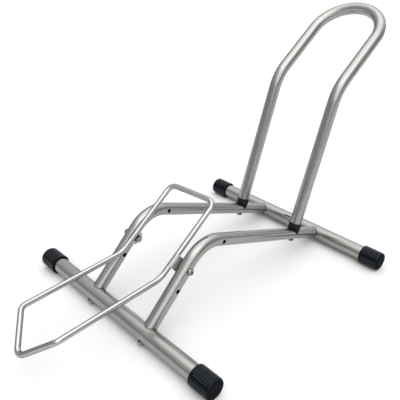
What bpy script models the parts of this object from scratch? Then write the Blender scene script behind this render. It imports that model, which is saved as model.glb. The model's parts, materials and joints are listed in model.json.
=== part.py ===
"""Floor stand for a bicycle wheel: two crossbars, two bent side tubes, a tall hoop and a tipping rocker.

Metres, +Z up, the floor at Z = 0. +X runs from the entry side, where the wheel rolls in, to the hoop.
The origin lies on the floor, midway along the stand's length and midway between its two sides.
"""
import math

import bmesh
import bpy
from mathutils import Matrix, Vector

# Running clearance left between pieces that touch
SEAT = 0.0003

# Crossbars, which lie across the stand on the floor
CROSSBAR_DIAMETER = 0.032
CROSSBAR_WALL = 0.0015
CROSSBAR_LENGTH = 0.476
CROSSBAR_SPACING = 0.508

# End caps, pushed over the crossbar ends, with groups of fine grooves between wide lands
CAP_LENGTH = 0.0452
CAP_END_WALL = 0.005
CAP_WALL = 0.0036
CAP_MOUTH_RADIUS = 0.0024
CAP_END_RADIUS = 0.0055
CAP_GROUPS = 6
CAP_GROOVES_IN_GROUP = 3
CAP_GROOVE_PITCH = math.radians(13.0)
CAP_GROOVE_START = 0.0065
CAP_GROOVE_LENGTH = 0.0292
CAP_GROOVE_WIDTH = 0.0016
CAP_GROOVE_DEPTH = 0.0009

# Side tubes: a steep front slope, one bend, and a long shallow slope down to the rear crossbar
SIDE_TUBE_DIAMETER = 0.025
SIDE_TUBE_WALL = 0.0015
SIDE_TUBE_SPACING = 0.1505
FRONT_SLOPE = math.radians(46.4)
REAR_SLOPE = math.radians(19.8)
SIDE_BEND_RADIUS = 0.065

# Hoop: two legs that lean back, a second bend and a half-round top
HOOP_DIAMETER = 0.025
HOOP_WALL = 0.0012
HOOP_FROM_REAR = 0.1023
HOOP_LEG_TILT = math.radians(72.9)
HOOP_LEG_LENGTH = 0.317
HOOP_TOP_TILT = math.radians(36.6)
HOOP_TOP_LENGTH = 0.223
HOOP_BEND_RADIUS = 0.090

# Saddles between the hoop's legs and the side tubes
SADDLE_DIAMETER = 0.028
SADDLE_HEIGHT = 0.0126
SADDLE_SKIRT = 0.0092
SADDLE_CHAMFER = 0.0008

# Rocker: one loop of rod, bent to a V at the front and square at the rear, which tips on two pivots
ROD_DIAMETER = 0.010
ROCKER_WIDTH = 0.1098
PIVOT_FROM_FRONT = 0.1300
ROD_OVER_PIVOT = 0.0155
PIVOT_BEHIND_BEND = 0.0398
ROCKER_REAR_LEG = 0.168
ROCKER_REAR_ANGLE = math.radians(39.0)
ROCKER_FRONT_LEG = 0.204
ROCKER_FRONT_ANGLE = math.radians(4.2)
ROCKER_V_DEPTH = 0.060
ROCKER_V_ANGLE = math.radians(45.0)
ROCKER_MIDDLE_RADIUS = 0.045
ROCKER_REAR_RADIUS = 0.022
ROCKER_FRONT_RADIUS = 0.014
ROCKER_TIP_RADIUS = 0.014

# Lugs, bent from thick strip: the top edge curls round the rod, and the rest hangs at the pivot
LUG_LENGTH = 0.026
LUG_THICKNESS = 0.0035
LUG_DROP = 0.0090
LUG_CORNER_RADIUS = 0.0070
LUG_CURL = math.radians(68.0)

# Bolts, nuts, washers and threaded plugs, all of one thread size
BOLT_DIAMETER = 0.008
BOLT_HEAD_DIAMETER = 0.0140
BOLT_HEAD_HEIGHT = 0.0048
BOLT_HEAD_RIM = 0.0007
BOLT_SOCKET_WIDTH = 0.0050
BOLT_SOCKET_DEPTH = 0.0026
BOLT_HOLE = BOLT_DIAMETER + 2 * SEAT
NUT_WIDTH = 0.013
NUT_HEIGHT = 0.0068
NUT_COLLAR_DIAMETER = 0.0112
NUT_COLLAR_HEIGHT = 0.0016
NUT_COLLAR_CHAMFER = 0.0005
WASHER_DIAMETER = 0.016
WASHER_THICKNESS = 0.0012
INSERT_LENGTH = 0.014
INSERT_FROM_AXIS = 0.0170
BOLT_IN_INSERT = 0.0120

# Spare pivot holes for other wheel sizes, and the slot in the rear crossbar
LOW_HOLE_FROM_FRONT = 0.0905
HIGH_HOLE_BEHIND_CORNER = 0.0476
SLOT_LENGTH = 0.018
SLOT_WIDTH = 0.0028
SLOT_ANGLE = math.radians(125.0)

# Facets round each kind of piece, the most that one facet turns along a bend, and the sharpest smooth edge
CROSSBAR_SIDES = 32
CAP_SIDES = 36
TUBE_SIDES = 16
ROD_SIDES = 12
BOLT_SIDES = 16
BEND_STEP = math.radians(12.0)
SMALL_STEP = math.radians(30.0)
SMOOTH_ANGLE = math.radians(32.0)

SIDES = {"left": 1.0, "right": -1.0}


def clear_scene():
    for thing in list(bpy.data.objects):
        bpy.data.objects.remove(thing, do_unlink=True)


def make_material(name, colour, roughness, metallic):
    material = bpy.data.materials.new(name)
    material.use_nodes = True
    shader = material.node_tree.nodes["Principled BSDF"]
    shader.inputs["Base Color"].default_value = (*colour, 1.0)
    shader.inputs["Roughness"].default_value = roughness
    shader.inputs["Metallic"].default_value = metallic
    material.diffuse_color = (*colour, 1.0)
    return material


def add_object(name, shape, material, place=None):
    """Turn a bmesh into a named object, smooth where it is round, at a place in the stand."""
    bmesh.ops.recalc_face_normals(shape, faces=shape.faces)
    mesh = bpy.data.meshes.new(name)
    shape.to_mesh(mesh)
    shape.free()
    mesh.shade_smooth()
    mesh.set_sharp_from_angle(angle=SMOOTH_ANGLE)
    piece = bpy.data.objects.new(name, mesh)
    piece.matrix_world = place or Matrix.Identity(4)
    if material is not None:
        mesh.materials.append(material)
    bpy.context.collection.objects.link(piece)
    return piece


def combine(piece, name, shape, operation, place=None):
    """Cut, trim or extend a piece by another shape, which stays in the scene as a hidden guide."""
    guide = add_object(name, shape, None, place)
    guide.hide_render = True
    guide.display_type = "WIRE"
    modifier = piece.modifiers.new(name, "BOOLEAN")
    modifier.operation = operation
    modifier.solver = "EXACT"
    modifier.object = guide


def cut(piece, name, shape, place=None):
    combine(piece, name, shape, "DIFFERENCE", place)


def aim(direction, point):
    """A placement whose own +Z runs along a direction from a point."""
    turn = direction.normalized().to_track_quat("Z", "X")
    return Matrix.Translation(point) @ turn.to_matrix().to_4x4()


def in_side_plane(angle):
    """A unit vector in the XZ plane, at an angle above +X."""
    return Vector((math.cos(angle), 0.0, math.sin(angle)))


def at_side(point, offset):
    return Vector((point.x, offset, point.z))


def arc(radius, start, end, step=BEND_STEP):
    """Pairs of coordinates along an arc about zero, no further apart than a step."""
    count = math.ceil(round(abs(end - start) / step, 6))
    angles = [start + (end - start) * index / count for index in range(count + 1)]
    return [(radius * math.cos(angle), radius * math.sin(angle)) for angle in angles]


def rounded_line(corners, radii):
    """Points along straight runs whose corners are rounded by arcs; a radius of 0 keeps the corner."""
    points = []
    for index, corner in enumerate(corners):
        radius = radii[index]
        if radius == 0.0:
            points.append(corner.copy())
            continue
        before = (corners[index - 1] - corner).normalized()
        after = (corners[(index + 1) % len(corners)] - corner).normalized()
        turn = math.pi - before.angle(after)
        middle = corner + (before + after).normalized() * (radius / math.cos(turn / 2))
        spoke = (corner + before * radius * math.tan(turn / 2) - middle).normalized()
        for out, along in arc(radius, 0.0, turn):
            points.append(middle + spoke * out - before * along)
    return points


def ring_frames(line, closed):
    """A pair of cross axes at each point of a line, carried along it without twisting."""
    count = len(line)
    runs = [(line[(index + 1) % count] - line[index]).normalized() for index in range(count)]
    if not closed:
        runs[-1] = runs[-2]
    tangents = [(runs[index - 1] + runs[index]).normalized() for index in range(count)]
    if not closed:
        tangents[0] = runs[0]
    across = tangents[0].cross(Vector((0.0, 1.0, 0.0)))
    level = tangents[0].cross(Vector((0.0, 0.0, 1.0)))
    crosses = [max(across, level, key=lambda cross: cross.length).normalized()]
    for index in range(1, count):
        turn = tangents[index - 1].rotation_difference(tangents[index])
        crosses.append(turn @ crosses[-1])
    if closed:
        last = tangents[-1].rotation_difference(tangents[0]) @ crosses[-1]
        drift = math.atan2(last.cross(crosses[0]).dot(tangents[0]), last.dot(crosses[0]))
        for index in range(count):
            turn = Matrix.Rotation(drift * index / count, 3, tangents[index])
            crosses[index] = turn @ crosses[index]
    return [(cross, tangent.cross(cross)) for cross, tangent in zip(crosses, tangents)]


def join_rings(shape, first, second):
    count = len(first)
    for side in range(count):
        following = (side + 1) % count
        shape.faces.new((first[side], first[following], second[following], second[side]))


def sweep(shape, line, radius, sides, closed=False):
    """Lay rings of vertices round a line and skin them; gives the rings back."""
    rings = []
    for point, (cross, up) in zip(line, ring_frames(line, closed)):
        ring = []
        for side in range(sides):
            angle = math.tau * side / sides
            spoke = cross * math.cos(angle) + up * math.sin(angle)
            ring.append(shape.verts.new(point + spoke * radius))
        rings.append(ring)
    for first, second in zip(rings, rings[1:]):
        join_rings(shape, first, second)
    if closed:
        join_rings(shape, rings[-1], rings[0])
    return rings


def pipe(line, diameter, wall, sides):
    """An open-ended tube of a given wall along a line."""
    shape = bmesh.new()
    outside = sweep(shape, line, diameter / 2, sides)
    inside = sweep(shape, line, diameter / 2 - wall, sides)
    join_rings(shape, outside[0], inside[0])
    join_rings(shape, outside[-1], inside[-1])
    return shape


def straight(start, end, diameter, sides):
    """A solid round bar between two points."""
    shape = bmesh.new()
    first, last = sweep(shape, [start, end], diameter / 2, sides)
    shape.faces.new(first)
    shape.faces.new(last)
    return shape


def prism(outline, way):
    """A flat outline drawn out along a way."""
    shape = bmesh.new()
    near = [shape.verts.new(point) for point in outline]
    far = [shape.verts.new(point + way) for point in outline]
    shape.faces.new(near)
    shape.faces.new(far)
    join_rings(shape, near, far)
    return shape


def turned(profile, sides):
    """Revolve an outline of (radius, height) about +Z; a radius of 0 closes it on the axis."""
    shape = bmesh.new()
    rings = []
    for radius, height in profile:
        if radius == 0.0:
            rings.append([shape.verts.new((0.0, 0.0, height))])
            continue
        ring = []
        for side in range(sides):
            angle = math.tau * side / sides
            ring.append(shape.verts.new((radius * math.cos(angle), radius * math.sin(angle), height)))
        rings.append(ring)
    pairs = list(zip(rings, rings[1:]))
    if len(rings[0]) > 1:
        pairs.append((rings[-1], rings[0]))
    for first, second in pairs:
        if len(first) > 1 and len(second) > 1:
            join_rings(shape, first, second)
            continue
        tip, rim = (first[0], second) if len(first) == 1 else (second[0], first)
        for side in range(sides):
            shape.faces.new((tip, rim[side], rim[(side + 1) % sides]))
    return shape


# The stand's main points, worked out from the driving sizes

CAP_RADIUS = CROSSBAR_DIAMETER / 2 + SEAT + CAP_WALL
AXIS_HEIGHT = CAP_RADIUS * math.cos(math.pi / CAP_SIDES)
SIDE_OFFSET = SIDE_TUBE_SPACING / 2
SIDE_BORE = SIDE_TUBE_DIAMETER - 2 * SIDE_TUBE_WALL
FRONT_WAY = in_side_plane(FRONT_SLOPE)
REAR_WAY = in_side_plane(math.pi - REAR_SLOPE)
LEG_WAY = in_side_plane(HOOP_LEG_TILT)
LEG_START = SIDE_TUBE_DIAMETER / 2 + SEAT + SADDLE_HEIGHT + SEAT
LUG_FACE = SIDE_OFFSET - SIDE_TUBE_DIAMETER / 2 - SEAT


def side_tube_corner(front):
    """Where the front slope and the rear slope of a side tube would meet."""
    rise = math.tan(FRONT_SLOPE)
    fall = math.tan(REAR_SLOPE)
    reach = CROSSBAR_SPACING * fall / (rise + fall)
    return front + Vector((reach, 0.0, reach * rise))


def hoop_foot(front):
    """Where a hoop leg's axis meets the side tube's axis."""
    return front + Vector((CROSSBAR_SPACING, 0.0, 0.0)) + REAR_WAY * HOOP_FROM_REAR


def rocker_line(pivot):
    """The rocker rod's centreline, a closed loop, from the V's tip round by the left side."""
    half = ROCKER_WIDTH / 2
    rear_way = in_side_plane(ROCKER_REAR_ANGLE)
    over = in_side_plane(ROCKER_REAR_ANGLE + math.pi / 2)
    bend = pivot + over * ROD_OVER_PIVOT - rear_way * PIVOT_BEHIND_BEND
    rear = bend + rear_way * ROCKER_REAR_LEG
    front = bend + in_side_plane(math.pi + ROCKER_FRONT_ANGLE) * ROCKER_FRONT_LEG
    tip = front + in_side_plane(math.pi + ROCKER_V_ANGLE) * ROCKER_V_DEPTH
    corners = [at_side(tip, 0.0)]
    corners += [at_side(corner, half) for corner in (front, bend, rear)]
    corners += [at_side(corner, -half) for corner in (rear, bend, front)]
    one_side = [ROCKER_FRONT_RADIUS, ROCKER_MIDDLE_RADIUS, ROCKER_REAR_RADIUS]
    return rounded_line(corners, [ROCKER_TIP_RADIUS] + one_side + one_side[::-1])


def hoop_line(foot):
    """The hoop's centreline, from the left leg's cut end over the half-round top to the right leg's."""
    half = SIDE_TUBE_SPACING / 2
    top_way = in_side_plane(HOOP_TOP_TILT)
    bend = foot + LEG_WAY * HOOP_LEG_LENGTH
    shoulder = bend + top_way * (HOOP_TOP_LENGTH - half)
    leg_end = foot + LEG_WAY * LEG_START
    corners = [at_side(point, half) for point in (leg_end, bend, shoulder)]
    left = rounded_line(corners, [0.0, HOOP_BEND_RADIUS, 0.0])
    right = [at_side(point, -half) for point in reversed(left)]
    top = [at_side(shoulder, out) + top_way * up for out, up in arc(half, 0.0, math.pi)]
    return left + top[1:-1] + right


def front_crossbar_x():
    """The front crossbar's place, which puts the origin midway between the V's tip and the hoop's top."""
    front = Vector((0.0, 0.0, AXIS_HEIGHT))
    tip = min(point.x for point in rocker_line(front + FRONT_WAY * PIVOT_FROM_FRONT)) - ROD_DIAMETER / 2
    top = max(point.x for point in hoop_line(hoop_foot(front))) + HOOP_DIAMETER / 2
    return -(tip + top) / 2


FRONT = Vector((front_crossbar_x(), 0.0, AXIS_HEIGHT))
REAR = FRONT + Vector((CROSSBAR_SPACING, 0.0, 0.0))
PIVOT = FRONT + FRONT_WAY * PIVOT_FROM_FRONT
HOOP_FOOT = hoop_foot(FRONT)


def make_crossbar(name, centre, slope_way, steel):
    """A straight tube with a pair of holes at each side tube, for the bolt that holds it."""
    half = Vector((0.0, CROSSBAR_LENGTH / 2, 0.0))
    tube = pipe([centre - half, centre + half], CROSSBAR_DIAMETER, CROSSBAR_WALL, CROSSBAR_SIDES)
    crossbar = add_object(name, tube, steel)
    for side, sign in SIDES.items():
        middle = at_side(centre, sign * SIDE_OFFSET)
        reach = slope_way * CROSSBAR_DIAMETER
        cut(crossbar, name + "_hole_" + side, straight(middle - reach, middle + reach, BOLT_HOLE, BOLT_SIDES))
    return crossbar


def cut_slot(crossbar):
    """The short slot, with round ends, in the rear crossbar's upper front wall."""
    half = (SLOT_LENGTH - SLOT_WIDTH) / 2
    outline = []
    for end in (1.0, -1.0):
        for out, up in arc(SLOT_WIDTH / 2, -math.pi / 2, math.pi / 2, SMALL_STEP):
            outline.append(Vector((0.0, end * (half + out), end * up)))
    slot = prism(outline, Vector((CROSSBAR_DIAMETER, 0.0, 0.0)))
    place = Matrix.Translation(REAR) @ Matrix.Rotation(-SLOT_ANGLE, 4, "Y")
    cut(crossbar, "rear_crossbar_slot", slot, place)


def cap_grooves():
    """Wedges that cut the grooves round a cap, in groups midway between the lands."""
    shape = bmesh.new()
    outline = [(CAP_RADIUS - CAP_GROOVE_DEPTH, 0.0), (CAP_RADIUS + CAP_GROOVE_DEPTH, -CAP_GROOVE_WIDTH),
               (CAP_RADIUS + CAP_GROOVE_DEPTH, CAP_GROOVE_WIDTH)]
    for group in range(CAP_GROUPS):
        for index in range(CAP_GROOVES_IN_GROUP):
            offset = CAP_GROOVE_PITCH * (index - (CAP_GROOVES_IN_GROUP - 1) / 2)
            angle = math.tau * (group + 0.5) / CAP_GROUPS + math.pi / CAP_SIDES + offset
            turn = Matrix.Rotation(angle, 3, "Z")
            rings = []
            for height in (CAP_GROOVE_START, CAP_GROOVE_START + CAP_GROOVE_LENGTH):
                rings.append([shape.verts.new(turn @ Vector((out, aside, height))) for out, aside in outline])
                shape.faces.new(rings[-1])
            join_rings(shape, rings[0], rings[1])
    return shape


def make_cap(name, end, outward, rubber):
    """A blind moulded cap with a bore for the tube, grooved sides and a rounded end, one flat land down."""
    profile = [(0.0, 0.0)]
    for out, up in arc(CAP_MOUTH_RADIUS, -math.pi / 2, 0.0, SMALL_STEP):
        profile.append((CAP_RADIUS - CAP_MOUTH_RADIUS + out, CAP_MOUTH_RADIUS + up))
    for out, up in arc(CAP_END_RADIUS, 0.0, math.pi / 2, SMALL_STEP):
        profile.append((CAP_RADIUS - CAP_END_RADIUS + out, CAP_LENGTH - CAP_END_RADIUS + up))
    profile.append((0.0, CAP_LENGTH))
    place = aim(outward, end + outward * (SEAT + CAP_END_WALL - CAP_LENGTH))
    down = place.to_3x3().inverted() @ Vector((0.0, 0.0, -1.0))
    place = place @ Matrix.Rotation(math.atan2(down.y, down.x) - math.pi / CAP_SIDES, 4, "Z")
    cap = add_object(name, turned(profile, CAP_SIDES), rubber, place)
    depth = Vector((0.0, 0.0, CAP_LENGTH - CAP_END_WALL))
    cut(cap, name + "_bore", straight(-depth, depth, CROSSBAR_DIAMETER + 2 * SEAT, CROSSBAR_SIDES), place)
    cut(cap, name + "_grooves", cap_grooves(), place)


def make_side_tube(side, sign, steel):
    """A bent tube, coped at both ends to sit on the crossbars, with its pivot and bolt holes."""
    name = "side_tube_" + side
    offset = sign * SIDE_OFFSET
    front = at_side(FRONT, offset)
    rear = at_side(REAR, offset)
    corner = side_tube_corner(front)
    line = rounded_line([front, corner, rear], [0.0, SIDE_BEND_RADIUS, 0.0])
    tube = add_object(name, pipe(line, SIDE_TUBE_DIAMETER, SIDE_TUBE_WALL, TUBE_SIDES), steel)
    beyond = Vector((0.0, SIDE_TUBE_DIAMETER, 0.0))
    for end, axis in (("front", front), ("rear", rear)):
        cope = straight(axis - beyond, axis + beyond, CROSSBAR_DIAMETER + 2 * SEAT, CROSSBAR_SIDES)
        cut(tube, name + "_cope_" + end, cope)
    spots = {"pivot": front + FRONT_WAY * PIVOT_FROM_FRONT,
             "low": front + FRONT_WAY * LOW_HOLE_FROM_FRONT,
             "high": corner - REAR_WAY * HIGH_HOLE_BEHIND_CORNER}
    for spot, centre in spots.items():
        hole = straight(centre - beyond, centre + beyond, BOLT_HOLE, BOLT_SIDES)
        cut(tube, name + "_hole_" + spot, hole)
    foot = at_side(HOOP_FOOT, offset)
    reach = LEG_WAY * SIDE_TUBE_DIAMETER
    cut(tube, name + "_hole_hoop", straight(foot - reach, foot + reach, BOLT_HOLE, BOLT_SIDES))


def make_hoop(steel):
    """One tube bent to two legs and a round top, its cut ends standing on the saddles."""
    add_object("hoop", pipe(hoop_line(HOOP_FOOT), HOOP_DIAMETER, HOOP_WALL, TUBE_SIDES), steel)


def make_saddle(side, sign, plastic):
    """A moulded spacer: round on top for the leg, hollowed below to straddle the side tube."""
    name = "hoop_saddle_" + side
    foot = at_side(HOOP_FOOT, sign * SIDE_OFFSET)
    top = SIDE_TUBE_DIAMETER / 2 + SEAT + SADDLE_HEIGHT
    bottom = SIDE_TUBE_DIAMETER / 2 - SADDLE_SKIRT
    radius = SADDLE_DIAMETER / 2
    bore = BOLT_HOLE / 2
    profile = [(bore, top), (radius - SADDLE_CHAMFER, top), (radius, top - SADDLE_CHAMFER), (radius, bottom),
               (bore, bottom)]
    saddle = add_object(name, turned(profile, TUBE_SIDES), plastic, aim(LEG_WAY, foot))
    way = REAR_WAY * SADDLE_DIAMETER
    hollow = straight(foot - way, foot + way, SIDE_TUBE_DIAMETER + 2 * SEAT, TUBE_SIDES)
    cut(saddle, name + "_hollow", hollow)


def make_bolt(name, seat, way, length, zinc):
    """A dome-headed socket bolt: its head's flat underside at a seat, its shank running along a way."""
    shank = BOLT_DIAMETER / 2
    head = BOLT_HEAD_DIAMETER / 2
    profile = [(0.0, length), (shank, length), (shank, 0.0), (head, 0.0)]
    for out, up in arc(1.0, 0.0, math.pi / 2, SMALL_STEP)[:-1]:
        profile.append((head * out, -BOLT_HEAD_RIM - (BOLT_HEAD_HEIGHT - BOLT_HEAD_RIM) * up))
    profile.append((0.0, -BOLT_HEAD_HEIGHT))
    bolt = add_object(name, turned(profile, BOLT_SIDES), zinc, aim(way, seat))
    corner = BOLT_SOCKET_WIDTH / math.sqrt(3)
    floor = BOLT_SOCKET_DEPTH - BOLT_HEAD_HEIGHT
    mouth = -2 * BOLT_HEAD_HEIGHT
    socket = turned([(0.0, mouth), (corner, mouth), (corner, floor), (0.0, floor)], 6)
    cut(bolt, name + "_socket", socket, aim(way, seat))


def make_ring(name, outer, thickness, place, material):
    """A flat ring or a short sleeve with a bolt's clearance hole."""
    profile = [(BOLT_HOLE / 2, 0.0), (outer / 2, 0.0), (outer / 2, thickness), (BOLT_HOLE / 2, thickness)]
    add_object(name, turned(profile, BOLT_SIDES), material, place)


def make_nut(name, place, zinc):
    """A locking nut: a hexagon with a round collar on its far side."""
    corner = NUT_WIDTH / math.sqrt(3)
    collar = NUT_COLLAR_DIAMETER / 2
    shoulder = NUT_HEIGHT - NUT_COLLAR_HEIGHT
    hexagon = turned([(0.0, 0.0), (corner, 0.0), (corner, shoulder), (0.0, shoulder)], 6)
    nut = add_object(name, hexagon, zinc, place)
    profile = [(0.0, shoulder / 2), (collar, shoulder / 2), (collar, NUT_HEIGHT - NUT_COLLAR_CHAMFER),
               (collar - NUT_COLLAR_CHAMFER, NUT_HEIGHT), (0.0, NUT_HEIGHT)]
    combine(nut, name + "_collar", turned(profile, BOLT_SIDES), "UNION", place)
    through = Vector((0.0, 0.0, 2 * NUT_HEIGHT))
    cut(nut, name + "_bore", straight(-through, through, BOLT_HOLE, BOLT_SIDES), place)


def make_crossbar_fixings(end, axis, slope_way, side, sign, zinc):
    """The bolt through a crossbar and the threaded plug inside the side tube that it pulls on."""
    middle = at_side(axis, sign * SIDE_OFFSET)
    plug_place = aim(slope_way, middle + slope_way * INSERT_FROM_AXIS)
    make_ring(end + "_insert_" + side, SIDE_BORE - 2 * SEAT, INSERT_LENGTH, plug_place, zinc)
    outside = CROSSBAR_DIAMETER / 2 + SEAT
    length = outside + INSERT_FROM_AXIS + BOLT_IN_INSERT
    make_bolt(end + "_bolt_" + side, middle - slope_way * outside, slope_way, length, zinc)


def make_hoop_fixings(side, sign, zinc):
    """The bolt up through a side tube and its saddle, and the threaded plug in the hoop's leg."""
    foot = at_side(HOOP_FOOT, sign * SIDE_OFFSET)
    bore = HOOP_DIAMETER - 2 * HOOP_WALL
    plug_place = aim(LEG_WAY, foot + LEG_WAY * LEG_START)
    make_ring("hoop_insert_" + side, bore - 2 * SEAT, INSERT_LENGTH, plug_place, zinc)
    lean = abs(HOOP_LEG_TILT - (math.pi / 2 - REAR_SLOPE))
    tilted_reach = SIDE_TUBE_DIAMETER / math.cos(lean) + BOLT_HEAD_DIAMETER * math.tan(lean)
    below = tilted_reach / 2 + SEAT
    length = below + LEG_START + BOLT_IN_INSERT
    make_bolt("hoop_bolt_" + side, foot - LEG_WAY * below, LEG_WAY, length, zinc)


def make_pivot(side, sign, zinc):
    """A bolt through the side tube and the rocker's lug, with a washer and a locking nut inside."""
    inward = Vector((0.0, -sign, 0.0))
    seat = at_side(PIVOT, sign * (SIDE_OFFSET + SIDE_TUBE_DIAMETER / 2 + SEAT))
    washer = at_side(PIVOT, sign * (LUG_FACE - LUG_THICKNESS - SEAT))
    nut = washer + inward * (WASHER_THICKNESS + SEAT)
    make_ring("pivot_washer_" + side, WASHER_DIAMETER, WASHER_THICKNESS, aim(inward, washer), zinc)
    make_nut("pivot_nut_" + side, aim(inward, nut), zinc)
    make_bolt("pivot_bolt_" + side, seat, inward, (nut - seat).length + NUT_HEIGHT, zinc)


def make_rocker(zinc):
    """The loop of rod, with its origin on the pivot axis."""
    shape = bmesh.new()
    sweep(shape, [point - PIVOT for point in rocker_line(PIVOT)], ROD_DIAMETER / 2, ROD_SIDES, closed=True)
    add_object("rocker", shape, zinc, Matrix.Translation(PIVOT))


def make_lug(side, sign, zinc):
    """A strip whose top curls round the rod's outer side and whose rounded lower end holds the pivot bolt."""
    name = "rocker_lug_" + side
    rod_offset = ROCKER_WIDTH / 2
    inner_face = LUG_FACE - LUG_THICKNESS
    bed = ROD_DIAMETER / 2 + SEAT
    half = LUG_LENGTH / 2
    section = [(LUG_FACE, -LUG_DROP)]
    for out, up in arc(LUG_FACE - rod_offset, 0.0, LUG_CURL):
        section.append((rod_offset + out, ROD_OVER_PIVOT + up))
    meeting = -math.acos(min(1.0, (inner_face - rod_offset) / bed))
    for out, up in arc(bed, LUG_CURL, meeting):
        section.append((rod_offset + out, ROD_OVER_PIVOT + up))
    section.append((inner_face, -LUG_DROP))
    outline = [Vector((-half, sign * aside, up)) for aside, up in section]
    place = Matrix.Translation(PIVOT) @ Matrix.Rotation(-ROCKER_REAR_ANGLE, 4, "Y")
    lug = add_object(name, prism(outline, Vector((LUG_LENGTH, 0.0, 0.0))), zinc, place)
    over = ROD_OVER_PIVOT + ROD_DIAMETER
    corners = [Vector((half, 0.0, over)), Vector((-half, 0.0, over)), Vector((-half, 0.0, -LUG_DROP)),
               Vector((half, 0.0, -LUG_DROP))]
    beyond = Vector((0.0, sign * 2 * LUG_FACE, 0.0))
    blank = prism(rounded_line(corners, [0.0, 0.0, LUG_CORNER_RADIUS, LUG_CORNER_RADIUS]), beyond)
    combine(lug, name + "_blank", blank, "INTERSECT", place)
    cut(lug, name + "_hole", straight(Vector(), beyond, BOLT_HOLE, BOLT_SIDES), place)


def build():
    clear_scene()
    steel = make_material("galvanised_tube", (0.48, 0.47, 0.45), 0.35, 1.0)
    bright = make_material("bright_rod", (0.75, 0.75, 0.74), 0.15, 1.0)
    zinc = make_material("zinc_fixings", (0.55, 0.55, 0.54), 0.30, 1.0)
    rubber = make_material("cap_rubber", (0.018, 0.019, 0.024), 0.55, 0.0)
    plastic = make_material("saddle_plastic", (0.010, 0.010, 0.014), 0.45, 0.0)

    make_crossbar("front_crossbar", FRONT, FRONT_WAY, steel)
    cut_slot(make_crossbar("rear_crossbar", REAR, REAR_WAY, steel))
    for end, centre in (("front", FRONT), ("rear", REAR)):
        for side, sign in SIDES.items():
            outward = Vector((0.0, sign, 0.0))
            make_cap("cap_" + end + "_" + side, centre + outward * (CROSSBAR_LENGTH / 2), outward, rubber)

    make_hoop(steel)
    make_rocker(bright)
    for side, sign in SIDES.items():
        make_side_tube(side, sign, steel)
        make_saddle(side, sign, plastic)
        make_crossbar_fixings("front", FRONT, FRONT_WAY, side, sign, zinc)
        make_crossbar_fixings("rear", REAR, REAR_WAY, side, sign, zinc)
        make_hoop_fixings(side, sign, zinc)
        make_pivot(side, sign, zinc)
        make_lug(side, sign, bright)


build()
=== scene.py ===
"""The looks of a floor stand for a bicycle wheel: drawn tubes, moulded caps, a bent rod and their fixings.

Metres and the part's own frame: the floor at Z = 0, +X from the entry side to the hoop, +Y to the left.
"""
import json
import math

import bmesh
import bpy
import numpy as np
from mathutils import Matrix, Vector


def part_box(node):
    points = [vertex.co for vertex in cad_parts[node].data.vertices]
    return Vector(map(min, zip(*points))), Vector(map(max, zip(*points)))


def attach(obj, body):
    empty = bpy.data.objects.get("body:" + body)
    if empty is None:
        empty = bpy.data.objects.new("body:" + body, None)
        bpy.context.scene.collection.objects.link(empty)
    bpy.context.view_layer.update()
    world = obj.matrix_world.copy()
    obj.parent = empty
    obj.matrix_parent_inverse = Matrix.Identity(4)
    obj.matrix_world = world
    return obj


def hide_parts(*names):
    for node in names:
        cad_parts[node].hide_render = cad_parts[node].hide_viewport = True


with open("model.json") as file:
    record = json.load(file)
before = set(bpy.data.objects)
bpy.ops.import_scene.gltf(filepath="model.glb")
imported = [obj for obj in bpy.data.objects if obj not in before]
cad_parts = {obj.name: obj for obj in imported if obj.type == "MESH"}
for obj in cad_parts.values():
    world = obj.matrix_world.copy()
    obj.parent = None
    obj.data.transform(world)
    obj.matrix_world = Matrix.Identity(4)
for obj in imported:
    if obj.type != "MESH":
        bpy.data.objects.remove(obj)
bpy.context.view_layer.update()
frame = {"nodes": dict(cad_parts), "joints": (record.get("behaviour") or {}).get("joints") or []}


# Crossbars: two straight lengths of drawn steel tube, zinc coated to a satin grey, that lie across the stand
# and are held just off the floor by their caps. Each is drilled through for a bolt at either side tube, and
# the rear one has a short slot, milled with round ends, in the wall that faces the wheel.
CROSSBAR_WALL = 0.0015
SEAT = 0.0003
BOLT_DIAMETER = 0.008
BOLT_HOLE = BOLT_DIAMETER + 2 * SEAT
SLOT_LENGTH = 0.018
SLOT_WIDTH = 0.0028
SLOT_ANGLE = math.radians(125.0)
SLOT_END_STEPS = 12
TUBE_ZINC = {"dark": (0.295, 0.29, 0.28), "light": (0.37, 0.365, 0.355), "roughness": 0.24,
             "grain": 0.00002, "rim": 0.8}
STREAK_STRETCH = (1.0, 1.0, 0.02)
# Painted shade of the seam at the rear cope: its near-black colour, how far its edge wanders and how soft it
# is.
SEAM_SHADE_DARK = (0.012, 0.012, 0.012)
SEAM_SHADE_WANDER = 0.0006
SEAM_SHADE_BLUR = 0.0003
# Bare steel inside the tubes, coloured near black as painted shade of the hollow.
BORE_SHADE_DARK = (0.012, 0.010, 0.009)
BORE_SHADE_LIGHT = (0.035, 0.030, 0.027)
FRONT_SLOPE = math.radians(46.4)
REAR_SLOPE = math.radians(19.8)
SIDES = {"left": 1.0, "right": -1.0}
ROUND_SIDES = 64
HOLE_SIDES = 32
WALL_FACING = 0.9


class Amount:
    """A value in a finish, kept as its socket; a sum, difference or product of amounts adds a Math node."""

    def __init__(self, finish, socket):
        self.finish = finish
        self.socket = socket

    def combined(self, operation, first, second):
        """A Math node on two values, of which at least one is an amount."""
        return self.finish.node("Math", {"operation": operation}, {0: first, 1: second})

    def __add__(self, other):
        return self.combined("ADD", self, other)

    def __radd__(self, other):
        return self.combined("ADD", other, self)

    def __sub__(self, other):
        return self.combined("SUBTRACT", self, other)

    def __rsub__(self, other):
        return self.combined("SUBTRACT", other, self)

    def __mul__(self, other):
        return self.combined("MULTIPLY", self, other)

    def __rmul__(self, other):
        return self.combined("MULTIPLY", other, self)


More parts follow.
